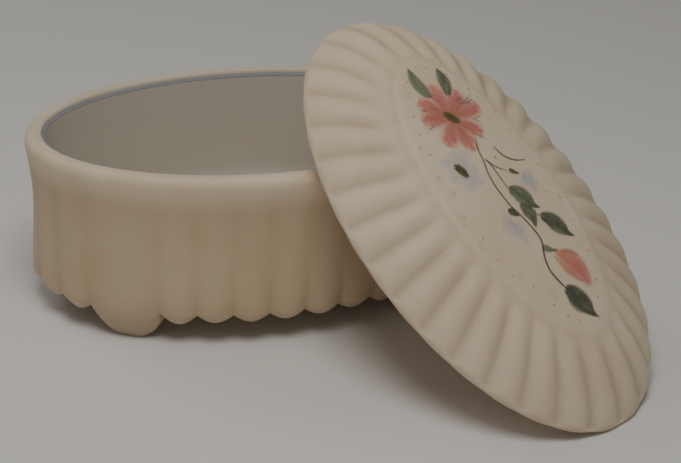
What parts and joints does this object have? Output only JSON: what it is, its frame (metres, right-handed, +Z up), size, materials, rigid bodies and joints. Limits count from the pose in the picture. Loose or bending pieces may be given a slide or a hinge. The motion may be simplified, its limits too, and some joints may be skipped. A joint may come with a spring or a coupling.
{
  "type": "lidded trinket box",
  "caption": "Oval covered trinket box in opaque satin glass: a scalloped dish on feet, its fluted, flower-painted lid taken off and leaning on the rim.",
  "frame": {"origin": "centre of the dish's oval, in the plane that its feet stand on", "axes": "+X along the dish's length, +Y across it, +Z up out of the dish's mouth"},
  "size_m": [0.1364, 0.124, 0.0681],
  "materials": {
    "dish_glass": "opaque satin-etched pressed glass, warm ivory",
    "lid_glass": "opaque satin-etched pressed glass, warm ivory, with a hand-painted enamel flower spray"
  },
  "bodies": {
    "dish": {"base_dish": "dish_glass"},
    "lid": {"lid": "lid_glass"}
  },
  "joints": [
    {"name": "lid_lift", "type": "slide", "parent": "dish", "child": "lid", "axis": [0, 0, 1], "range_m": [0, 0.06]}
  ]
}
